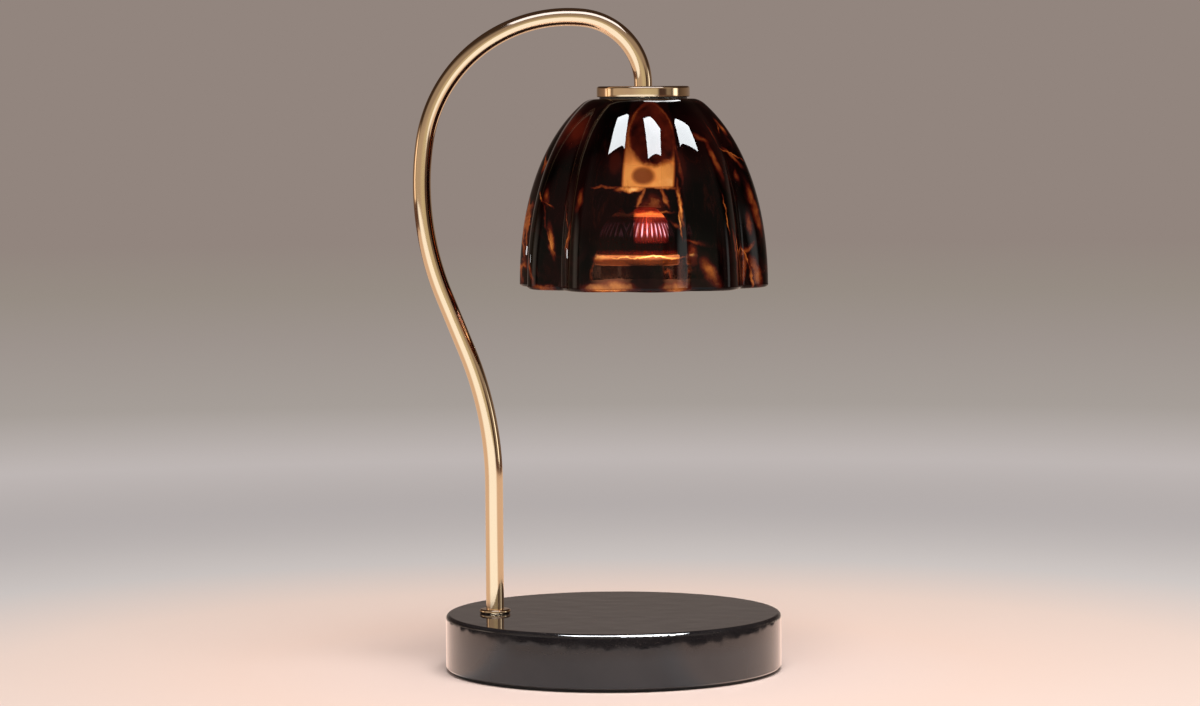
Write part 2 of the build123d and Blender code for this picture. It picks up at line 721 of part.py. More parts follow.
with BuildPart() as bulb_capsule:
    with BuildSketch(bulb_profile):
        with BuildLine():
            dome_z = capsule_front + capsule_radius
            slant = capsule_radius * sin(radians(45))
            ThreePointArc((0, capsule_front), (slant, dome_z - slant), (capsule_radius, dome_z))
            Polyline((capsule_radius, dome_z), (capsule_radius, capsule_end), (0, capsule_end),
                     (0, capsule_front))
        make_face()
        with BuildLine():
            hollow = capsule_radius - capsule_glass
            slant = hollow * sin(radians(45))
            ThreePointArc((0, dome_z - hollow), (slant, dome_z - slant), (hollow, dome_z))
            Polyline((hollow, dome_z), (hollow, capsule_end - capsule_plug),
                     (0, capsule_end - capsule_plug), (0, dome_z - hollow))
        make_face(mode=Mode.SUBTRACT)
    revolve(axis=bulb_axis)
    for side in (-1, 1):
        wire_hole = at(head_x + side * filament_half_width, bulb_z + capsule_end - capsule_plug)
        drill(wire_hole, filament_wire_radius + thread_fit, capsule_plug)
finish_part(bulb_capsule.part, "bulb_capsule")

with BuildPart() as bulb_base:
    with BuildSketch(at(head_x, bulb_z + base_start)):
        SlotOverall(bulb_base_length, bulb_base_width)
    extrude(amount=bulb_base_height)
    with BuildSketch(at(head_x, bulb_z + neck_end)):
        SlotOverall(bulb_base_length - 2 * bulb_base_wall, bulb_base_width - 2 * bulb_base_wall)
    extrude(amount=base_ceiling - neck_end, mode=Mode.SUBTRACT)
    drill(at(head_x, bulb_z + base_start), bulb_neck_radius + easy_fit, bulb_neck_sink)
    for side in (-1, 1):
        pin_hole = at(head_x + side * pin_circle, bulb_top_z - bulb_base_top)
        drill(pin_hole, pin_shank_radius + thread_fit, bulb_base_top)
finish_part(bulb_base.part, "bulb_base")

with BuildPart() as bulb_pins:
    for side in (-1, 1):
        pin_x = head_x + side * pin_circle
        rod(at(pin_x, bulb_top_z - bulb_base_top), pin_shank_radius, bulb_base_top + pin_shank_length)
        rod(at(pin_x, bulb_top_z + pin_shank_length), pin_head_radius, pin_head_length)
    chamfer(bulb_pins.edges().group_by(Axis.Z)[-1], pin_head_chamfer)
finish_part(bulb_pins.part, "bulb_pins")

with BuildPart() as bulb_filament:
    with BuildLine(bulb_profile) as filament_line:
        half = [(pin_circle, base_ceiling), (pin_circle, base_ceiling - filament_spread_gap),
                (filament_half_width, capsule_end + filament_spread_start),
                (filament_half_width, capsule_front + filament_front_gap)]
        other_half = [(-x, height) for x, height in reversed(half)]
        FilletPolyline(*half, *other_half, radius=filament_bend)
    with BuildSketch(Plane(origin=filament_line.line @ 0, z_dir=(0, 0, -1))):
        Circle(filament_wire_radius)
    sweep(path=filament_line.wire())
finish_part(bulb_filament.part, "bulb_filament")
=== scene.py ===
import json
from math import atan2, cos, pi, radians, sin, sqrt

import bmesh
import bpy
from mathutils import Euler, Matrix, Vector


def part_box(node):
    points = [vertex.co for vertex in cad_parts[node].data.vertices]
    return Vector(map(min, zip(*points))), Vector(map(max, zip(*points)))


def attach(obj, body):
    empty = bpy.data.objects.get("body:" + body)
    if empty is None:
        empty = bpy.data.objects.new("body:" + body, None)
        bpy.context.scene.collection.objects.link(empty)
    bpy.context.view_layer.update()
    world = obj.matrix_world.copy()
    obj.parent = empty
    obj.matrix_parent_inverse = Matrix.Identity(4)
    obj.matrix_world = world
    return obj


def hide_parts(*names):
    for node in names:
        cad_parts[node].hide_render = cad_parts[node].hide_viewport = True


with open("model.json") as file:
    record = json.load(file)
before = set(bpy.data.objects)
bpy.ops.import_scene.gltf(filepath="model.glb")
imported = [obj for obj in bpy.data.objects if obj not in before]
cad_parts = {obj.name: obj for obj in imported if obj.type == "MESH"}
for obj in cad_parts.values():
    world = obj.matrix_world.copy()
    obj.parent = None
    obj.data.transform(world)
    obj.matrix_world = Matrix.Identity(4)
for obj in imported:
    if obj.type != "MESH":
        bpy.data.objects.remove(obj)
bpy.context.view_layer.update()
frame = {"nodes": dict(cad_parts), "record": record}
nodes = frame["nodes"]

CAP_LOW, CAP_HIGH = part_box("head_cap")
HEAD_X = ((CAP_LOW + CAP_HIGH) / 2).x
SHADE_LOW, SHADE_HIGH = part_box("shade")
BULB_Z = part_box("bulb_reflector")[0].z
TUBE_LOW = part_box("arm_tube")[0]
STONE_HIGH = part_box("base_disc")[1]

# Camera: a little above the shade's top, in front of the lamp
CAMERA_PLACE = Vector((-0.0053, -1.84, 0.2675))
CAMERA_AIM = Vector((-0.0053, 0.0, 0.1415))
CAMERA_ROLL = -0.0065
VIEW_WIDTH = 0.53508
SENSOR = 0.036

camera_data = bpy.data.cameras.new("camera")
camera_data.sensor_width = SENSOR * 1000
camera_data.lens = SENSOR * 1000 * (CAMERA_AIM - CAMERA_PLACE).length / VIEW_WIDTH
camera_data.clip_end = 50
camera = bpy.data.objects.new("camera", camera_data)
bpy.context.scene.collection.objects.link(camera)
camera.location = CAMERA_PLACE
turn = (CAMERA_AIM - CAMERA_PLACE).to_track_quat("-Z", "Y").to_matrix()
camera.rotation_euler = (turn @ Euler((0, 0, CAMERA_ROLL)).to_matrix()).to_euler()
bpy.context.scene.camera = camera
bpy.context.scene.view_settings.view_transform = "Standard"


def linear(red, green, blue):
    """Linear color of an sRGB color given in 255ths."""
    return tuple(v / 3294.6 if v <= 10.3 else ((v / 255 + 0.055) / 1.055) ** 2.4
                 for v in (red, green, blue))


BACKDROP = linear(146, 133, 126)
HORIZON = [
    # degrees from the front, to the right, and color
    (-180, BACKDROP), (-150, (0.14, 0.10, 0.075)), (-112, (0.26, 0.17, 0.12)), (-104, (1.5, 1.2, 0.95)),
    (-94, (1.5, 1.2, 0.95)), (-86, (0.09, 0.055, 0.04)), (-78, (0.48, 0.40, 0.31)), (-30, (0.46, 0.38, 0.31)),
    (4, (0.58, 0.53, 0.38)), (34, (0.50, 0.45, 0.33)), (40, (0.06, 0.035, 0.03)), (56, (0.07, 0.045, 0.035)),
    (62, (0.26, 0.22, 0.17)), (72, (0.22, 0.18, 0.14)), (77, (0.05, 0.035, 0.03)), (83, (1.7, 1.7, 1.6)),
    (90, (1.7, 1.7, 1.6)), (96, (0.08, 0.055, 0.04)), (125, (0.16, 0.115, 0.085)), (180, BACKDROP),
]


class Nodes:
    """A node tree that is built up step by step."""

    def __init__(self, tree, coordinates):
        self.tree = tree
        self.place = tree.nodes.new("ShaderNodeTexCoord").outputs[coordinates]

    def node(self, kind, **settings):
        """A new node. Settings that name an input are set or linked, and the others are properties."""
        made = self.tree.nodes.new(kind)
        for key, value in settings.items():
            if hasattr(made, key):
                setattr(made, key, value)
        for key, value in settings.items():
            if not hasattr(made, key):
                self.feed(made.inputs[key.replace("_", " ")], value)
        return made

    def feed(self, socket, value):
        """Links an output to a socket, or sets the socket to a value."""
        if isinstance(value, bpy.types.NodeSocket):
            self.tree.links.new(value, socket)
        else:
            socket.default_value = value

    def move(self, place, location):
        """The coordinates moved by a location."""
        return self.node("ShaderNodeMapping", Vector=place, Location=location).outputs[0]

    def noise(self, scale, detail, roughness=0.5, place=None):
        """Value of a cloud noise, whose scale is in waves a metre."""
        made = self.node("ShaderNodeTexNoise", Vector=place or self.place, Scale=scale, Detail=detail,
                         Roughness=roughness)
        return made.outputs["Fac"]

    def cells(self, scale, feature="F1", place=None):
        """Distance output of a cell noise."""
        made = self.node("ShaderNodeTexVoronoi", feature=feature, Vector=place or self.place, Scale=scale)
        return made.outputs["Distance"]

    def remap(self, value, low, high, out_low=0.0, out_high=1.0, smooth=False):
        """A value moved from one range to another and held inside it."""
        made = self.node("ShaderNodeMapRange", interpolation_type="SMOOTHSTEP" if smooth else "LINEAR")
        for socket, entry in zip(made.inputs, (value, low, high, out_low, out_high)):
            self.feed(socket, entry)
        return made.outputs[0]

    def calc(self, operation, *entries):
        """Result of a math node."""
        made = self.node("ShaderNodeMath", operation=operation)
        for socket, entry in zip(made.inputs, entries):
            self.feed(socket, entry)
        return made.outputs[0]

    def vector(self, operation, *entries):
        """The vector, or for a length or a dot product the value, of a vector math node."""
        made = self.node("ShaderNodeVectorMath", operation=operation)
        for socket, entry in zip(made.inputs, entries):
            self.feed(socket, entry)
        return made.outputs["Value" if operation in ("LENGTH", "DOT_PRODUCT") else "Vector"]

    def ramp(self, value, stops):
        """Color of a ramp with stops of (place, color)."""
        made = self.node("ShaderNodeValToRGB", Fac=value)
        while len(made.color_ramp.elements) < len(stops):
            made.color_ramp.elements.new(0.5)
        for element, (place, color) in zip(made.color_ramp.elements, stops):
            element.position = place
            element.color = (*color, 1)
        return made.outputs["Color"]

    def mix(self, share, first, second):
        """Two colors mixed by a share."""
        made = self.node("ShaderNodeMix", data_type="RGBA")
        self.feed(made.inputs[0], share)
        for socket, entry in ((made.inputs[6], first), (made.inputs[7], second)):
            self.feed(socket, (*entry, 1) if isinstance(entry, tuple) else entry)
        return made.outputs[2]

    def blend(self, share, first, second):
        """Two values mixed by a share."""
        return self.node("ShaderNodeMix", data_type="FLOAT", Factor=share, A=first, B=second).outputs[0]

    def emission(self, color, strength=1.0):
        """A shader that only glows."""
        return self.node("ShaderNodeEmission", Color=color, Strength=strength).outputs[0]

    def around(self, place):
        """Angle of a place round the Z axis, 0 in front and growing to the right, and its height."""
        split = self.node("ShaderNodeSeparateXYZ", Vector=place).outputs
        return self.calc("ARCTAN2", split["X"], self.calc("MULTIPLY", split["Y"], -1.0)), split["Z"]

    def horizon(self, place):
        """Color that metal and glass see at eye level in the direction of a place."""
        share = self.calc("ADD", self.calc("DIVIDE", self.around(place)[0], 2 * pi), 0.5)
        return self.ramp(share, [(turned / 360 + 0.5, color) for turned, color in HORIZON])


class Look(Nodes):
    """A material that starts with one Principled shader."""

    def __init__(self, name, color, roughness, **values):
        self.material = bpy.data.materials.new(name)
        self.material.use_nodes = True
        super().__init__(self.material.node_tree, "Object")
        self.shader = self.tree.nodes["Principled BSDF"]
        self.shader.inputs["Base Color"].default_value = (*color, 1)
        self.shader.inputs["Roughness"].default_value = roughness
        for key, value in values.items():
            self.shader.inputs[key.replace("_", " ")].default_value = value

    def paint(self, **outputs):
        """Links outputs to the shader's inputs."""
        for key, value in outputs.items():
            self.feed(self.shader.inputs[key.replace("_", " ")], value)

    def bump(self, height, depth, strength=1.0):
        """Gives the shader a bump from a height between 0 and 1, whose depth is in metres."""
        made = self.node("ShaderNodeBump", Height=height, Distance=depth, Strength=strength)
        if self.shader.inputs["Normal"].is_linked:
            self.feed(made.inputs["Normal"], self.shader.inputs["Normal"].links[0].from_socket)
        self.paint(Normal=made.outputs[0])

    def mix_shader(self, share, first, second):
        """Two shaders mixed by a share."""
        made = self.node("ShaderNodeMixShader")
        for socket, entry in zip(made.inputs, (share, first, second)):
            self.feed(socket, entry)
        return made.outputs[0]

    def surface(self, shader):
        """Makes a shader the material's surface."""
        self.feed(self.tree.nodes["Material Output"].inputs["Surface"], shader)


def metal(name, color, roughness, wave=0.0, scratched=0.000004):
    """Metal with fine scratches, faint smudges and, where asked for, a slight waviness."""
    look = Look(name, color, roughness, Metallic=1.0)
    smudge = look.noise(90, detail=4, roughness=0.6)
    scratch = look.noise(2600, detail=2)
    rough = look.calc("ADD", look.remap(smudge, 0.35, 0.75, -0.25 * roughness, 0.45 * roughness),
                      look.remap(scratch, 0.3, 0.8, 0.85 * roughness, 1.35 * roughness))
    tone = look.remap(look.noise(40, detail=2), 0.3, 0.7, 0.94, 1.0)
    look.paint(Roughness=rough, Base_Color=look.mix(tone, tuple(0.9 * c for c in color), color))
    if wave:
        look.bump(look.noise(70, detail=1), wave)
    look.bump(scratch, scratched)
    return look.material


def moulded(name, color, roughness, grain=0.00003, size=900):
    """Plastic, rubber or ceramic with a fine grain and slight unevenness of color and gloss."""
    look = Look(name, color, roughness)
    cloud = look.noise(120, detail=4)
    grit = look.noise(size, detail=3, roughness=0.6)
    shade = look.calc("ADD", look.remap(cloud, 0.3, 0.7, 0.0, 0.6), look.remap(grit, 0.3, 0.7, 0.0, 0.4))
    look.paint(Base_Color=look.mix(shade, tuple(0.82 * c for c in color), color),
               Roughness=look.remap(grit, 0.2, 0.8, 0.85 * roughness, min(1.0, 1.2 * roughness)))
    look.bump(grit, grain)
    return look.material


def stone():
    """Black polished stone: fine pale and brown grains, faint clouds, a painted cool reflection low on its
    side and a hand-polished wave.
    """
    look = Look("polished_stone", (0.012, 0.011, 0.012), 0.06, IOR=1.56)
    height = look.node("ShaderNodeSeparateXYZ", Vector=look.place).outputs["Z"]
    grain = look.cells(1500)
    fleck = look.remap(look.noise(1100, detail=2), 0.62, 0.74)
    cloud = look.noise(45, detail=5, roughness=0.6)
    base = look.mix(look.remap(cloud, 0.35, 0.7), (0.009, 0.008, 0.009), (0.022, 0.019, 0.019))
    base = look.mix(look.remap(grain, 0.25, 0.7, 0.0, 0.5), base, (0.016, 0.014, 0.015))
    base = look.mix(look.calc("MULTIPLY", fleck, 0.35), base, (0.06, 0.048, 0.042))
    # A painted reflection: the side's colour grows lighter and bluer towards its bottom
    painted_reflection = look.mix(look.remap(look.noise(30, detail=3), 0.35, 0.7),
                    (0.016, 0.022, 0.028), (0.028, 0.032, 0.038))
    reflection_share = look.remap(height, 0.021, 0.012, 0.0, 0.85, smooth=True)
    look.paint(Base_Color=look.mix(reflection_share, base, painted_reflection),
               Roughness=look.remap(look.noise(60, detail=4), 0.35, 0.7, 0.035, 0.085))
    look.bump(look.noise(85, detail=2, roughness=0.4), 0.00006)
    look.bump(look.noise(420, detail=1), 0.000004)
    return look.material


finishes = {
    "stone": stone(),
    "pad": moulded("foam_pad", (0.018, 0.017, 0.017), 0.9, 0.00012, 1400),
    "gold": metal("polished_gold", (0.93, 0.70, 0.46), 0.07, wave=0.00001, scratched=0.000001),
    "steel": metal("zinc_steel", (0.62, 0.62, 0.6), 0.28),
    "brass": metal("turned_brass", (0.8, 0.6, 0.3), 0.22),
    "plastic": moulded("black_plastic", (0.03, 0.03, 0.033), 0.45),
    "nylon": moulded("pale_nylon", (0.72, 0.72, 0.68), 0.5),
    "grommet": moulded("black_rubber", (0.02, 0.02, 0.02), 0.7),
    "silicone": moulded("clear_silicone", (0.62, 0.6, 0.56), 0.35),
    "ceramic": moulded("fired_ceramic", (0.8, 0.77, 0.7), 0.6, 0.00006, 700),
    "brown_lead": moulded("brown_insulation", (0.2, 0.09, 0.04), 0.4),
    "blue_lead": moulded("blue_insulation", (0.05, 0.15, 0.45), 0.4),
    "clear_glass": Look("clear_glass", (0.96, 0.96, 0.94), 0.02, IOR=1.5, Transmission_Weight=1.0).material,
    "tungsten": Look("hot_tungsten", (0.9, 0.6, 0.3), 0.4, Metallic=1.0,
                     Emission_Color=(1.0, 0.62, 0.28, 1), Emission_Strength=20.0).material,
    "bulb_glass": Look("dichroic_glass", (0.85, 0.5, 0.6), 0.08, IOR=1.5, Transmission_Weight=0.55).material,
}
silicone_shader = finishes["silicone"].node_tree.nodes["Principled BSDF"]
silicone_shader.inputs["Transmission Weight"].default_value = 0.9

# Radius at which the glass's pattern is unrolled to a flat sheet
UNROLL = 0.05
DARK_GLASS = (0.0006, 0.0001, 0.0001)
# Amber patches on the front half, which glow with painted light of the bulb shining through the glass
GLASS_GLOW_PATCHES = [
    # degrees, millimetres, half width, half height, tilt, strength
    (-7.0, 44.9, 6.5, 1.3, 3, 0.98), (9.0, 45.4, 8.0, 0.9, -3, 0.80), (-20.5, 45.4, 6.0, 0.6, 0, 0.52),
    (-55.6, 1.4, 4.5, 1.5, 0, 0.58), (-17.0, 1.8, 10.5, 2.4, 3, 0.66), (14.0, 1.8, 7.0, 2.4, -3, 0.60),
    (-58.0, 41.0, 1.7, 4.5, 8, 0.42), (-52.0, 21.5, 1.3, 8.5, 12, 0.55), (-40.4, 22.5, 1.2, 7.5, -10, 0.52),
    (-34.0, 39.6, 2.2, 4.8, -12, 0.44), (-64.0, 9.0, 1.2, 8.0, 24, 0.46), (-72.0, 73.0, 4.0, 3.0, 0, 0.33),
    (67.6, 71.0, 2.0, 4.0, 20, 0.50), (38.0, 65.9, 5.5, 1.5, -20, 0.42), (43.0, 56.7, 2.4, 9.0, 14, 0.46),
    (63.8, 57.5, 7.0, 1.2, -42, 0.48), (62.0, 49.5, 1.4, 3.2, 0, 0.42), (69.5, 35.0, 2.4, 12.0, 8, 0.52),
    (64.0, 28.3, 1.5, 5.0, 0, 0.45), (61.2, 17.2, 5.5, 1.3, 35, 0.52), (47.4, 15.5, 1.1, 12.0, 6, 0.46),
    (66.0, 6.5, 2.6, 8.0, 18, 0.54), (58.5, 9.0, 1.3, 8.0, -6, 0.48), (18.3, 38.5, 1.2, 9.0, 5, 0.80),
    (15.0, 29.0, 4.0, 1.1, -35, 0.40), (25.0, 21.7, 5.0, 0.9, -15, 0.42), (31.5, 8.0, 2.6, 7.0, 24, 0.58),
    (-2.2, 41.0, 1.1, 5.5, -22, 0.66), (9.5, 41.5, 1.0, 5.0, 18, 0.70), (3.0, 34.2, 8.0, 0.7, 2, 0.70),
    (4.5, 15.3, 11.0, 0.5, 0, 1.15), (-11.0, 15.2, 8.0, 0.35, 0, 0.62), (-20.5, 15.0, 3.2, 1.6, 0, 0.62),
    (23.8, 16.0, 2.2, 5.5, 0, 0.36), (20.0, 57.0, 1.3, 12.0, 4, 0.40), (52.0, 68.0, 1.3, 7.0, 16, 0.36),
    (3.6, 38.6, 5.0, 4.6, 0, 0.40),
    # thin cores that glow brighter, painted light of the bulb
    (-63.0, 41.2, 0.5, 3.4, 48, 0.56), (-56.5, 37.5, 0.4, 3.5, 66, 0.50), (-57.3, 32.0, 0.5, 7.4, 19, 0.36),
    (-52.0, 20.0, 0.5, 5.3, 25, 0.66), (-43.2, 31.2, 0.45, 7.0, 25, 0.42), (-41.5, 21.2, 0.45, 4.0, -21, 0.8),
    (-72.0, 8.0, 0.5, 5.0, 40, 0.52), (41.8, 33.0, 0.35, 8.0, 5, 0.74), (49.4, 19.0, 0.6, 5.5, 8, 0.60),
    (54.0, 17.5, 0.5, 3.0, -60, 0.58), (59.5, 14.5, 0.6, 5.0, 26, 0.62), (62.8, 5.2, 0.7, 4.8, 8, 0.70),
    (17.6, 30.0, 0.5, 6.0, 4, 0.95), (63.3, 70.6, 0.6, 2.9, -31, 0.55), (64.0, 58.7, 0.4, 9.7, 70, 0.60),
]


def tortoise():
    """Nearly black glass with amber veins and windows, which glow as if the bulb lit them."""
    look = Look("tortoise_glass", DARK_GLASS, 0.0, IOR=1.25, Transmission_Weight=1.0,
                Emission_Strength=1.0)
    local = look.vector("SUBTRACT", look.place, (HEAD_X, 0, SHADE_LOW.z))
    angle, height = look.around(local)
    flat = look.node("ShaderNodeCombineXYZ", X=look.calc("MULTIPLY", angle, UNROLL), Y=height).outputs[0]

    def shift(scale, detail, roughness, reach):
        """A random shift of a place, by up to half of reach each way."""
        drift = look.node("ShaderNodeTexNoise", Vector=local, Scale=scale, Detail=detail, Roughness=roughness)
        moved = look.vector("SCALE", look.vector("SUBTRACT", drift.outputs["Color"], (0.5, 0.5, 0.5)))
        moved.node.inputs["Scale"].default_value = reach
        return moved

    bent = look.vector("ADD", flat, shift(150.0, 3.0, 0.6, 0.0042))

    def spot(turn, high, wide, tall, tilt=0.0, soft=0.3, bend=True):
        """Mask of an ellipse on the unrolled glass. Its place is in degrees and millimetres."""
        made = look.node("ShaderNodeMapping", vector_type="TEXTURE", Vector=bent if bend else flat,
                         Location=(radians(turn) * UNROLL, high / 1000, 0), Rotation=(0, 0, radians(tilt)),
                         Scale=(wide / 1000, tall / 1000, 1))
        return rise(look.vector("LENGTH", made.outputs[0]), 1 + soft, 1 - soft)

    def both(first, second):
        return look.calc("MULTIPLY", first, second)

    def either(first, second):
        return look.calc("MAXIMUM", first, second)

    def rise(value, low, high):
        """Mask that goes softly from 0 at one value to 1 at another."""
        return look.remap(value, low, high, smooth=True)

    def band(value, low, high, soft):
        """Mask of a value between two limits."""
        return both(rise(value, low - soft, low + soft), rise(value, high + soft, high - soft))

    def cloud(scale, low, high, out_low=0.0, out_high=1.0, detail=3, moved=None, smooth=False):
        """Value of a cloud noise, moved from one range to another."""
        return look.remap(look.noise(scale, detail=detail, place=moved or local), low, high,
                          out_low, out_high, smooth)

    # Random veins, faint in front and strong at the sides and the rear, and clouds
    swirled = look.vector("ADD", look.vector("MULTIPLY", local, (1, 1, 0.62)), shift(42.0, 4.0, 0.55, 0.034))
    vein = rise(look.cells(46.0, feature="DISTANCE_TO_EDGE", place=swirled), 0.13, 0.0)
    broken = cloud(38.0, 0.42, 0.62, moved=look.move(local, (0.31, 0.12, 0.07)), smooth=True)
    veins = both(both(vein, broken), 0.50)
    haze = cloud(26.0, 0.48, 0.78, 0.0, 0.2, detail=4, moved=look.move(local, (0.5, 0.2, 0.9)))
    haze = either(haze, both(spot(-58.0, 70.0, 17.0, 11.0, soft=0.7),
                             cloud(55.0, 0.35, 0.65, 0.12, 0.30, detail=4)))
    side = look.remap(look.calc("ABSOLUTE", angle), radians(60), radians(86), 0.25, 1.0, smooth=True)
    value = either(both(veins, side), haze)

    # The front lobe: an amber window with a dark blob and a dark dot in it
    right_side = look.remap(height, 0.046, 0.080, radians(15.4), radians(22.9))
    lobe = both(rise(look.calc("SUBTRACT", right_side, angle), radians(-1.6), radians(1.6)),
                both(rise(angle, radians(-14.3), radians(-10.9)), band(height, 0.0452, 0.0835, 0.001)))
    # The window's amber and its painted glow grow fainter towards its top
    window_fade = both(look.remap(height, 0.052, 0.064, 0.80, 0.44, smooth=True),
                 look.remap(height, 0.068, 0.078, 1.0, 0.3, smooth=True))
    window_fade = look.calc("ADD", window_fade, cloud(95.0, 0.3, 0.7, -0.08, 0.06, detail=4))
    value = either(value, both(lobe, window_fade))
    for turn, high, wide, tall, bright in ((-17.0, 56.0, 4.5, 7.0, 0.22), (21.0, 55.0, 5.0, 8.5, 0.20)):
        value = either(value, both(spot(turn, high, wide, tall, soft=0.7), bright))
    outline = both(spot(5.0, 68.0, 14.6, 14.4, soft=0.12), cloud(75.0, 0.35, 0.65, 0.44, 0.68))
    value = either(value, both(lobe, outline))
    value = look.blend(spot(5.2, 68.6, 13.2, 13.4, soft=0.14), value, cloud(80.0, 0.35, 0.65, 0.14, 0.32))
    value = look.blend(spot(-1.0, 50.4, 5.2, 3.7, bend=False), value, 0.42)

    # Amber patches in the rest of the front half, whose glow is painted light of the bulb
    lights = 0.0
    for turn, high, wide, tall, tilt, bright in GLASS_GLOW_PATCHES:
        lights = either(lights, both(spot(turn, high, wide, tall, tilt, 0.85), bright))
    value = either(value, both(lights, cloud(210.0, 0.3, 0.7, 0.64, 1.06)))
    # The glow is painted light of the bulb, strongest where the glass is most amber
    glow = look.ramp(value, [
        (0.0, (0.0, 0.0, 0.0)), (0.16, (0.007, 0.0008, 0.0008)), (0.3, (0.058, 0.0055, 0.0022)),
        (0.45, (0.17, 0.034, 0.0065)), (0.62, (0.38, 0.105, 0.018)), (0.8, (0.64, 0.235, 0.05)),
        (1.0, (1.0, 0.55, 0.20))])

    # Where the glass is clear enough to show the bulb: a slot, a slit below it and two spots near the rim
    slot = band(angle, radians(-4.5), radians(9.5), radians(1.5))
    pale = both(slot, band(height, 0.0225, 0.0325, 0.001))
    slit = both(band(height, 0.0125, 0.0175, 0.001), cloud(110.0, 0.35, 0.6, 0.1, 0.4))
    window = either(both(slot, band(height, 0.0225, 0.0365, 0.0015)),
                    both(band(angle, radians(-21.0), radians(14.0), radians(3.0)), slit))
    for turn, wide in ((-16.0, 6.5), (15.0, 5.5)):
        window = either(window, both(spot(turn, 9.0, wide, 7.0, soft=0.4), 0.5))
    base = look.mix(window, DARK_GLASS, (0.72, 0.13, 0.045))
    base = look.mix(pale, base, (0.85, 0.36, 0.28))
    base = look.mix(look.remap(value, 0.3, 0.9), base, (0.8, 0.36, 0.10))
    look.paint(Base_Color=base, Emission_Color=glow)
    look.bump(look.noise(70, detail=1, place=local), 0.0001, look.remap(height, 0.018, 0.05, 0.1, 1.0))
    return look.material


finishes["shade_glass"] = tortoise()

for entry in frame["record"]["subparts"]:
    for slot in nodes[entry["node"]].material_slots:
        slot.material = finishes[entry["material_slot"]]

# Shade: the CAD shade's lobed bell with soft grooves, a round lip and a round shoulder
RIM_RADIUS = 0.0563
SHADE_HEIGHT = SHADE_HIGH.z - SHADE_LOW.z
CROWN_HEIGHT = 1.1055 * SHADE_HEIGHT
CROWN_POWER = 2.18
WALL = 0.003
TOP_THICKNESS = 0.0034
LIP = WALL / 2
LIP_STEP = 0.0003
SHOULDER = 0.0022
HOLE = 0.0096
HOLE_EDGE = 0.0004
TOP_RINGS = (0.016, 0.012)
INNER_RING = 0.014
SIDE_STEPS = 34
ROUND_STEPS = 6
LOBES = 10
LOBE_TURN = radians(5.4)
LOBE_DEPTH = 0.105
LOBE_FADE = 0.72
HALF_LOBE = pi / LOBES
SOFT_SHARE = 0.10
CREST_BEND = 5.0
LOBE_STEPS = 32
# The front lobe is a little narrower than the rear one. Each round brings a ray nearer to its place.
LOBE_WARP = 0.05
WARP_ROUNDS = 8
SHARP_EDGE = radians(40)


def rounding(radius, steps):
    """Points along a quarter circle: how far each lies from its start and from its end."""
    return [(radius * (1 - cos(pi / 2 * step / steps)), radius * (1 - sin(pi / 2 * step / steps)))
            for step in range(steps + 1)]


def closed_piece(name, form, rings, outer_count=0):
    """Joins rings of points in turn, and the last to the first. Faces past outer_count get material 1."""
    count = len(rings[0])
    for index, lower in enumerate(rings):
        upper = rings[(index + 1) % len(rings)]
        for step in range(count):
            after = (step + 1) % count
            face = form.faces.new((lower[step], lower[after], upper[after], upper[step]))
            face.smooth = True
            face.material_index = 1 if outer_count and index >= outer_count else 0
    bmesh.ops.recalc_face_normals(form, faces=form.faces)
    for edge in form.edges:
        edge.smooth = edge.calc_face_angle() < SHARP_EDGE
    mesh = bpy.data.meshes.new(name)
    form.to_mesh(mesh)
    form.free()
    made = bpy.data.objects.new(name, mesh)
    bpy.context.scene.collection.objects.link(made)
    return made


def lobed_radius(part, height, inset):
    """Distance of the glass from its axis at a height. The part is 0 on a crest and 1 in a groove."""
    share = height / (CROWN_HEIGHT - inset)
    crest = (RIM_RADIUS - inset) * sqrt(1 - share ** CROWN_POWER)
    groove = crest * (1 - LOBE_DEPTH * (1 - LOBE_FADE * (height / SHADE_HEIGHT) ** 2))
    if part > 1 - SOFT_SHARE:
        part -= (part - 1 + SOFT_SHARE) ** 2 / (2 * SOFT_SHARE)
    bow = (sqrt(1 + CREST_BEND * part ** 2) - 1) / (sqrt(1 + CREST_BEND) - 1)
    level = crest + (groove * cos(HALF_LOBE) - crest) * bow
    return level / cos(part * HALF_LOBE)


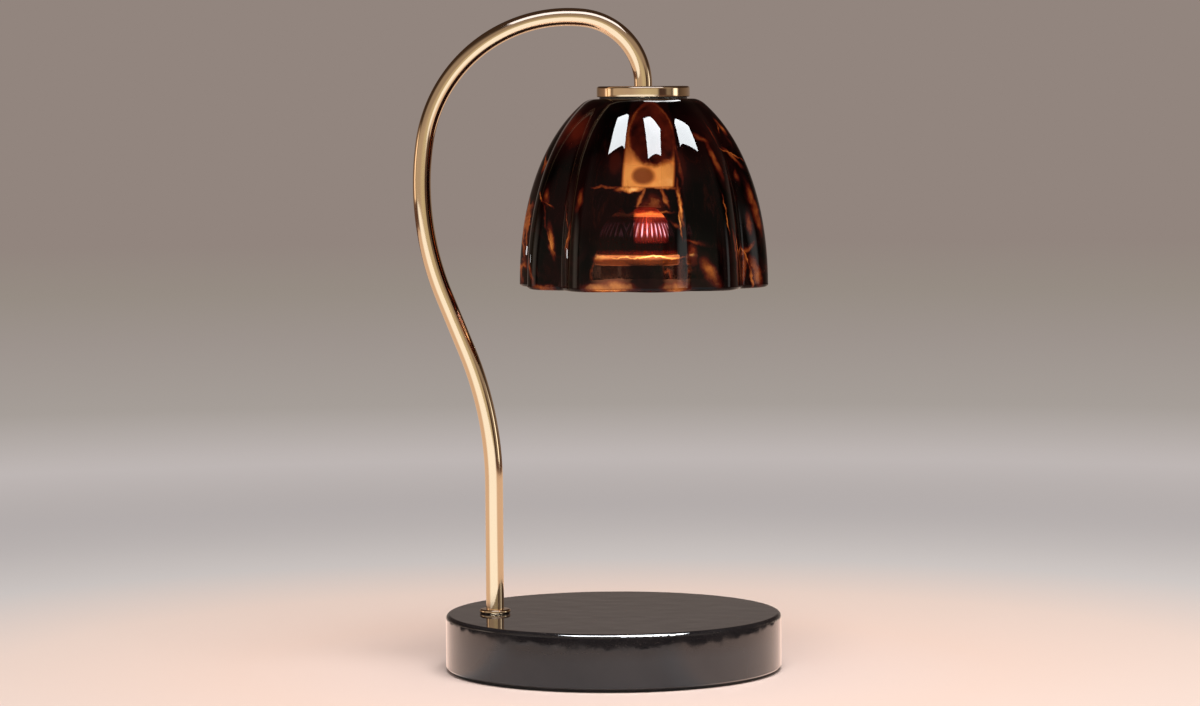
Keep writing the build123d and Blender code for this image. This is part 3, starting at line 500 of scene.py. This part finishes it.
def shade_glass():
    """The shade as one closed mesh: faces of material 0 are its outside and of material 1 its inside."""
    lip = rounding(LIP, ROUND_STEPS)
    shoulder = rounding(SHOULDER, ROUND_STEPS)
    side = [sin(pi / 2 * step / SIDE_STEPS) for step in range(1, SIDE_STEPS)]
    inner_top = SHADE_HEIGHT - TOP_THICKNESS

    # Each row: height above the rim, what comes off its radius, inset, and its radius where it has no lobes
    rows = [(near, far, 0.0, None) for near, far in lip]
    rows.append((LIP + LIP_STEP, 0.0, 0.0, None))
    rows += [(LIP + (SHADE_HEIGHT - SHOULDER - LIP) * share, 0.0, 0.0, None) for share in side]
    rows += [(SHADE_HEIGHT - far, near, 0.0, None) for near, far in shoulder]
    rows += [(SHADE_HEIGHT, 0.0, 0.0, radius) for radius in (*TOP_RINGS, HOLE + HOLE_EDGE)]
    rows.append((SHADE_HEIGHT - HOLE_EDGE, 0.0, 0.0, HOLE))
    outer_count = len(rows)
    rows += [(inner_top, 0.0, WALL, radius) for radius in (HOLE, INNER_RING)]
    rows += [(inner_top - far, near, WALL, None) for near, far in shoulder[::-1]]
    rows += [(LIP + (inner_top - SHOULDER - LIP) * share, 0.0, WALL, None) for share in side[::-1]]
    rows += [(far, -near, WALL, None) for near, far in lip[:-1]]

    count = LOBES * LOBE_STEPS
    rays = []
    for step in range(count):
        even = 2 * pi * step / count
        part = abs((even + HALF_LOBE) % (2 * HALF_LOBE) - HALF_LOBE) / HALF_LOBE
        angle = even
        for _ in range(WARP_ROUNDS):
            angle = even - LOBE_WARP * sin(angle)
        rays.append((angle + LOBE_TURN - pi / 2, part))
    form = bmesh.new()
    rings = []
    for height, trim, inset, plain in rows:
        ring = []
        for angle, part in rays:
            reach = plain or lobed_radius(part, height, inset) - trim
            ring.append(form.verts.new((HEAD_X + reach * cos(angle), reach * sin(angle),
                                        SHADE_LOW.z + height)))
        rings.append(ring)
    return closed_piece("tortoise_shade", form, rings, outer_count)


shade_piece = shade_glass()
shade_piece.data.materials.append(finishes["shade_glass"])
inner_glass = Look("inner_glass", (0.95, 0.9, 0.85), 0.0, IOR=1.5, Transmission_Weight=1.0)
shade_piece.data.materials.append(inner_glass.material)
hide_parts("shade")
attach(shade_piece, "shade")

# Bulb: the reflector with its ribs and its scalloped flange
RIBS = 40
RIB_DEPTH = 0.00035
SCALLOPS = 60
SCALLOP_DEPTH = 0.0004
REFLECTOR_STEPS = 480
REFLECTOR_WALL = 0.0016
REFLECTOR_MOUTH = (0.0236, 0.0046)
REFLECTOR_NECK = (0.0068, 0.0265)
NECK_TOP = 0.0310
BOWL_BULGE = 0.004
BOWL_STEPS = 14
REFLECTOR_RED = (0.55, 0.10, 0.10)


def revolved(name, profile, floor_z, steps, wave=None):
    """A closed ring of a profile of (radius, height) points round the head's axis. wave moves each point."""
    form = bmesh.new()
    rings = []
    for index, (radius, height) in enumerate(profile):
        ring = []
        for step in range(steps):
            angle = 2 * pi * step / steps
            out, up = wave(index, angle) if wave else (0.0, 0.0)
            ring.append(form.verts.new((HEAD_X + (radius + out) * cos(angle), (radius + out) * sin(angle),
                                        floor_z + height + up)))
        rings.append(ring)
    return closed_piece(name, form, rings)


def bowl(start, end, bulge, steps):
    """Points of an outward arc between two points of a profile."""
    (x0, y0), (x1, y1) = start, end
    chord = sqrt((x1 - x0) ** 2 + (y1 - y0) ** 2)
    radius = (chord ** 2 / 4 + bulge ** 2) / (2 * bulge)
    across = ((y1 - y0) / chord, (x0 - x1) / chord)
    middle = ((x0 + x1) / 2 + across[0] * (bulge - radius), (y0 + y1) / 2 + across[1] * (bulge - radius))
    first = atan2(y0 - middle[1], x0 - middle[0])
    last = atan2(y1 - middle[1], x1 - middle[0])
    return [(middle[0] + radius * cos(first + (last - first) * step / steps),
             middle[1] + radius * sin(first + (last - first) * step / steps)) for step in range(steps + 1)]


flange = [(0.0234, 0.0), (0.0244, 0.0), (0.0249, 0.0005), (0.0249, 0.0038), (0.0246, 0.0043)]
flange_top = (3, 4)
outside = bowl(REFLECTOR_MOUTH, REFLECTOR_NECK, BOWL_BULGE, BOWL_STEPS)
inside = bowl((REFLECTOR_MOUTH[0] - REFLECTOR_WALL, REFLECTOR_MOUTH[1]),
              (REFLECTOR_NECK[0] - REFLECTOR_WALL, REFLECTOR_NECK[1] - REFLECTOR_WALL),
              BOWL_BULGE, BOWL_STEPS)
ribbed = range(len(flange) + 1, len(flange) + len(outside) - 1)
neck = [(REFLECTOR_NECK[0], NECK_TOP), (REFLECTOR_NECK[0] - REFLECTOR_WALL, NECK_TOP)]
lens_seat = [(REFLECTOR_MOUTH[0] - REFLECTOR_WALL, 0.0026), (0.0234, 0.0024)]


def bulb_wave(index, angle):
    """How far a point of the reflector's profile moves outward and up at an angle."""
    if index in ribbed:
        return -RIB_DEPTH * (1 - cos(RIBS * angle)) / 2, 0.0
    if index in flange_top:
        return 0.0, -SCALLOP_DEPTH * (1 - cos(SCALLOPS * angle)) / 2
    return 0.0, 0.0


def lit_reflector():
    """Red dichroic glass, which glows at its ribs, neck and flange as if the bulb lit it."""
    look = Look("dichroic_reflector", REFLECTOR_RED, 0.05, IOR=1.5, Transmission_Weight=0.35,
                Specular_IOR_Level=0.9, Emission_Strength=1.0)
    angle, height = look.around(look.vector("SUBTRACT", look.place, (HEAD_X, 0, BULB_Z)))

    def zone(start, full, last, end):
        """Mask of the heights between full and last, which fades out by start and by end."""
        return look.calc("MULTIPLY", look.remap(height, start, full, smooth=True),
                         look.remap(height, end, last, smooth=True))

    rib = look.calc("COSINE", look.calc("MULTIPLY", angle, float(RIBS)))
    rib_glow = look.calc("MULTIPLY", look.remap(rib, 0.45, 0.95, smooth=True),
                         zone(0.0125, 0.0145, 0.0185, 0.0200))
    rib_glow = look.calc("MULTIPLY", rib_glow, look.remap(look.noise(160, detail=2), 0.35, 0.65, 0.25, 1.0))
    ring_glow = look.calc("MULTIPLY", look.remap(height, 0.0050, 0.0044, smooth=True),
                          look.remap(height, 0.0026, 0.0043, 0.05, 1.0))
    lit = look.mix(rib_glow, (0.03, 0.0008, 0.0012), (2.0, 1.5, 2.1))
    lit = look.mix(zone(0.0220, 0.0228, 0.0234, 0.0244), lit, (1.1, 0.5, 0.18))
    lit = look.mix(ring_glow, lit, (1.8, 1.3, 0.75))
    lower = look.remap(height, 0.0058, 0.0048, smooth=True)
    look.paint(Emission_Color=lit, Base_Color=look.mix(lower, REFLECTOR_RED, (0.42, 0.24, 0.09)))
    return look.material


reflector = revolved("ribbed_reflector", flange + outside + neck + inside[::-1] + lens_seat, BULB_Z,
                     REFLECTOR_STEPS, bulb_wave)
reflector.data.materials.append(lit_reflector())
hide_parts("bulb_reflector")
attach(reflector, "bulb")

# Tube and cap: as the CAD's, with an even bend and a rounded edge that catch the light smoothly
TUBE_RADIUS = 0.004
TUBE_BORE = 0.003
TUBE_SIDES = 48
RISE = 0.0579
BEND_STEP = 1.5
# How near the head's axis the CAD tube counts as its upper end, and how near its lowest point as its foot
HEAD_REACH = 0.005
FOOT_REACH = 0.0001
BENDS = [
    # radius and angle to the left seen from the front, or length of a straight run
    (0.1597, 22.0), (0.0262, None), (0.1319, -30.4), (0.0645, -87.5), (0.0299, -84.1)]


def tube_line():
    """Points along the tube's centre line with the direction at each."""
    inner = [v.co for v in nodes["arm_tube"].data.vertices if abs(v.co.x - HEAD_X) < HEAD_REACH]
    foot = [v.co for v in nodes["arm_tube"].data.vertices if v.co.z < TUBE_LOW.z + FOOT_REACH]
    foot_x = (min(v.x for v in foot) + max(v.x for v in foot)) / 2
    place = Vector((foot_x, 0, TUBE_LOW.z))
    turned = pi / 2
    points = [(place.copy(), turned)]
    place = Vector((foot_x, 0, STONE_HIGH.z + RISE))
    points.append((place.copy(), turned))
    for size, bend in BENDS:
        if bend is None:
            place = place + size * Vector((cos(turned), 0, sin(turned)))
            points.append((place.copy(), turned))
            continue
        side = 1 if bend > 0 else -1
        middle = place + side * size * Vector((-sin(turned), 0, cos(turned)))
        steps = int(abs(bend) / BEND_STEP) + 1
        for step in range(1, steps + 1):
            angle = turned + radians(bend) * step / steps
            points.append((middle - side * size * Vector((-sin(angle), 0, cos(angle))), angle))
        turned += radians(bend)
        place = points[-1][0].copy()
    points.append((Vector((place.x, 0, min(v.z for v in inner))), turned))
    return points


def bent_tube():
    """The tube with its bore, as one closed mesh."""
    form = bmesh.new()
    line = tube_line()
    rings = []
    for run, radius in ((line, TUBE_RADIUS), (line[::-1], TUBE_BORE)):
        for place, turned in run:
            across = Vector((-sin(turned), 0, cos(turned)))
            ring = []
            for step in range(TUBE_SIDES):
                angle = 2 * pi * step / TUBE_SIDES
                ring.append(form.verts.new(place + radius * (cos(angle) * across
                                                             + sin(angle) * Vector((0, 1, 0)))))
            rings.append(ring)
    return closed_piece("bent_tube", form, rings)


tube_piece = bent_tube()
tube_piece.data.materials.append(finishes["gold"])
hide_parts("arm_tube")
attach(tube_piece, "stand")

CAP_RADIUS = (CAP_HIGH.x - CAP_LOW.x) / 2
CAP_HEIGHT = CAP_HIGH.z - CAP_LOW.z
CAP_FIT = 0.0001
CAP_HOLE = TUBE_RADIUS + CAP_FIT
CAP_STEPS = 144
UPPER_ROUND = 0.0011
UPPER_STEPS = 9
LOWER_ROUND = 0.0004
cap_profile = [(CAP_HOLE, 0.0)]
cap_profile += [(CAP_RADIUS - far, near) for near, far in rounding(LOWER_ROUND, ROUND_STEPS)]
cap_profile += [(CAP_RADIUS - near, CAP_HEIGHT - far) for near, far in rounding(UPPER_ROUND, UPPER_STEPS)]
cap_profile += [(CAP_HOLE, CAP_HEIGHT)]
cap_piece = revolved("polished_cap", cap_profile, CAP_LOW.z, CAP_STEPS)
cap_piece.data.materials.append(finishes["gold"])
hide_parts("head_cap")
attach(cap_piece, "stand")

# Floor, as wide as the view
FLOOR_HALF = 60
FLOOR_DROP = 0.0002
# Horizontal direction from the lamp to the pale sweep's middle
SWEEP_WAY = (-0.309, -0.951, 0)


def pale_floor():
    """A pale floor that fades into the backdrop. Metal and glass mirror it in other colors."""
    look = Look("pale_floor", (0.85, 0.78, 0.74), 0.9, Specular_IOR_Level=0.0)
    flat = look.vector("MULTIPLY", look.place, (1, 1, 0))
    reach = look.vector("LENGTH", flat)
    tint = look.ramp(look.remap(reach, 0.0, 1.0), [
        (0.0, linear(224, 199, 189)), (0.17, linear(225, 195, 179)), (0.28, linear(222, 197, 183)),
        (0.42, linear(202, 193, 188)), (0.7, linear(188, 180, 177)), (1.0, linear(178, 170, 166))])
    patches = look.remap(look.noise(3.0, detail=2), 0.3, 0.7, 0.0, 0.06)
    look.paint(Base_Color=look.mix(patches, tint, (0.8, 0.7, 0.64)))
    look.bump(look.noise(900, detail=2), 0.00003)
    far_out = look.calc("DIVIDE", look.calc("LOGARITHM", look.calc("MAXIMUM", reach, 0.5), 2.0), 4.0)
    far_tint = look.ramp(far_out, [
        (0.0, linear(192, 184, 182)), (0.14, linear(166, 158, 152)), (0.3, linear(157, 147, 141)),
        (0.42, linear(150, 140, 131)), (0.55, BACKDROP), (1.0, BACKDROP)])
    seen = look.mix_shader(look.remap(reach, 0.45, 1.1, smooth=True), look.shader.outputs[0],
                           look.emission(far_tint))

    # Metal and glass see the pale sweep in front of the lamp, which ends in a dark gap
    paths = look.node("ShaderNodeLightPath").outputs
    toward_front = look.vector("DOT_PRODUCT", look.vector("NORMALIZE", flat), SWEEP_WAY)
    frontal = look.remap(toward_front, 0.50, 0.80, smooth=True)
    near = look.remap(paths["Ray Length"], 0.24, 0.21, smooth=True)
    aside = look.mix(look.remap(reach, 1.15, 1.3, smooth=True), (0.70, 0.54, 0.44), (0.11, 0.06, 0.045))
    mirror = look.mix(frontal, look.mix(near, aside, (1.5, 1.08, 0.9)), (1.08, 1.13, 1.18))
    mirror = look.mix(look.remap(reach, 2.5, 3.1, smooth=True), mirror, look.horizon(flat))
    border = look.calc("ADD", reach, look.remap(look.noise(26.0, detail=3), 0.3, 0.7, -0.010, 0.010))
    gap = look.calc("MULTIPLY", look.remap(border, 0.207, 0.216, smooth=True), near)
    mirror = look.mix(gap, mirror, (0.03, 0.03, 0.032))
    beside = look.calc("MULTIPLY", near, look.calc("SUBTRACT", 1.0, frontal))
    shown = look.calc("MAXIMUM", look.calc("MAXIMUM", gap, beside), look.remap(reach, 0.2, 0.24))
    look.surface(look.mix_shader(look.calc("MULTIPLY", paths["Is Glossy Ray"], shown), seen,
                                 look.emission(mirror)))
    return look.material


floor_mesh = bpy.data.meshes.new("floor")
floor_mesh.from_pydata([(-FLOOR_HALF, -FLOOR_HALF, 0), (FLOOR_HALF, -FLOOR_HALF, 0),
                        (FLOOR_HALF, FLOOR_HALF, 0), (-FLOOR_HALF, FLOOR_HALF, 0)], [], [(0, 1, 2, 3)])
floor = bpy.data.objects.new("floor", floor_mesh)
bpy.context.scene.collection.objects.link(floor)
floor.location.z = -FLOOR_DROP
floor_mesh.materials.append(pale_floor())

# The room
world = bpy.data.worlds.new("studio")
bpy.context.scene.world = world
world.use_nodes = True
room = Nodes(world.node_tree, "Generated")
room_paths = room.node("ShaderNodeLightPath").outputs
heights = room.node("ShaderNodeSeparateXYZ", Vector=room.place).outputs
# What metal and glass see: a dark room behind and above, and a dim one in front
above = room.mix(room.remap(heights["Z"], 0.5, 0.8, smooth=True), (0.33, 0.27, 0.22), (0.05, 0.035, 0.028))
upper = room.mix(room.remap(heights["Y"], -0.35, 0.1, smooth=True), above, (0.045, 0.028, 0.02))
mirrored = room.mix(room.remap(heights["Z"], 0.06, 0.26, smooth=True), room.horizon(room.place), upper)
unmirrored = room.mix(room_paths["Is Diffuse Ray"], BACKDROP, (0.52, 0.52, 0.53))
shown = room.mix(room_paths["Is Glossy Ray"], unmirrored, mirrored)
room.feed(world.node_tree.nodes["Background"].inputs["Color"], shown)

# Key light: a soft rectangle above the lamp and a little in front of it
KEY_PLACE = Vector((0.115, -0.38, 1.05))
KEY_AIM = Vector((0.025, -0.02, 0.2))
KEY_SIZE = (0.60, 0.48)
KEY_POWER = 12.0
KEY_COLOR = (0.93, 0.97, 1.0)
key_way = (KEY_AIM - KEY_PLACE).normalized()
key_turn = (KEY_AIM - KEY_PLACE).to_track_quat("-Z", "Y").to_euler()
key_light = bpy.data.lights.new("key", "AREA")
key_light.shape = "RECTANGLE"
key_light.size, key_light.size_y = KEY_SIZE
key_light.energy = KEY_POWER
key_light.color = KEY_COLOR
key = bpy.data.objects.new("key", key_light)
bpy.context.scene.collection.objects.link(key)
key.location = KEY_PLACE
key.rotation_euler = key_turn
key.visible_camera = False
key.visible_glossy = False

# The key light as glossy pieces see it: flat soft boxes with six corners. Glass and stone reflect a few
# hundredths of one and metal nearly all, so glass, stone and the rest each mirror a box of their own.
# Each box lies a little nearer to the lamp than the last, because boxes in one place hide each other.
GLASS_BOX = [(-0.36, -0.225, 0), (0.0, -0.235, 0), (0.40, -0.24, 0), (0.40, 0.10, 0), (0.0, 0.25, 0),
             (-0.24, 0.28, 0)]
STONE_BOX = [(-0.62, -0.225, 0), (0.0, -0.235, 0), (0.66, -0.24, 0), (0.66, 0.10, 0), (0.0, 0.25, 0),
             (-0.62, 0.28, 0)]
METAL_BOX = [(-0.50, -0.225, 0), (-0.05, -0.235, 0), (0.52, -0.24, 0), (0.52, 0.14, 0), (-0.05, 0.23, 0),
             (-0.50, 0.26, 0)]
only_glass = bpy.data.collections.new("only_glass")
only_stone = bpy.data.collections.new("only_stone")
not_dark = bpy.data.collections.new("not_dark")
for piece, own in ((shade_piece, only_glass), (nodes["base_disc"], only_stone)):
    own.objects.link(piece)
    not_dark.objects.link(piece)
for member in not_dark.collection_objects:
    member.light_linking.link_state = "EXCLUDE"


def card(look, corners, faces, color, strength, receivers, place, turn):
    """A flat light that only the receivers mirror, and that hides nothing behind it."""
    both_sides = look.node("ShaderNodeAddShader")
    look.feed(both_sides.inputs[0], look.emission(color, strength))
    look.feed(both_sides.inputs[1], look.node("ShaderNodeBsdfTransparent").outputs[0])
    look.surface(both_sides.outputs[0])
    mesh = bpy.data.meshes.new(look.material.name)
    mesh.from_pydata(corners, [], faces)
    mesh.materials.append(look.material)
    made = bpy.data.objects.new(look.material.name, mesh)
    bpy.context.scene.collection.objects.link(made)
    made.location = place
    made.rotation_euler = turn
    made.light_linking.receiver_collection = receivers
    made.visible_camera = False
    made.visible_diffuse = False
    made.visible_transmission = False
    made.visible_shadow = False
    return made


for name, corners, tint, strength, receivers, nearer in (
        ("soft_box", GLASS_BOX, KEY_COLOR, 68.0, only_glass, 0.0),
        ("stone_soft_box", STONE_BOX, KEY_COLOR, 53.0, only_stone, 0.005),
        ("metal_soft_box", METAL_BOX, (1.0, 1.12, 1.5), 1.3, not_dark, 0.01)):
    look = Look(name, (0, 0, 0), 1.0)
    patch = look.mix(look.remap(look.noise(5.0, detail=1), 0.35, 0.65, 0.0, 0.3), tint,
                     tuple(0.85 * part for part in tint))
    box = card(look, corners, [(0, 1, 4, 5), (1, 2, 3, 4)], patch, strength, receivers,
               KEY_PLACE + nearer * key_way, key_turn)

# Two small lights that only the glass mirrors: one far to the left behind the lamp, seen as ticks on the
# lobes, and one above it, seen as a streak on the shoulder
STRIP_TURN = radians(-128)
STRIP_REACH = 1.5
WHITE = (1, 1, 1, 1)
for name, half_width, half_height, place, turn, strength in (
        ("far_strip", 0.04, 0.015,
         (HEAD_X + STRIP_REACH * sin(STRIP_TURN), -STRIP_REACH * cos(STRIP_TURN), 0.205),
         (radians(90), 0, STRIP_TURN), 9.0),
        ("upper_strip", 0.14, 0.20, (HEAD_X + 0.095, 0.66, 1.01), (radians(-41), 0, 0), 14.0)):
    corners = [(-half_width, -half_height, 0), (half_width, -half_height, 0),
               (half_width, half_height, 0), (-half_width, half_height, 0)]
    strip = card(Look(name, (0, 0, 0), 1.0), corners, [(0, 1, 2, 3)], WHITE, strength, only_glass,
                 place, turn)
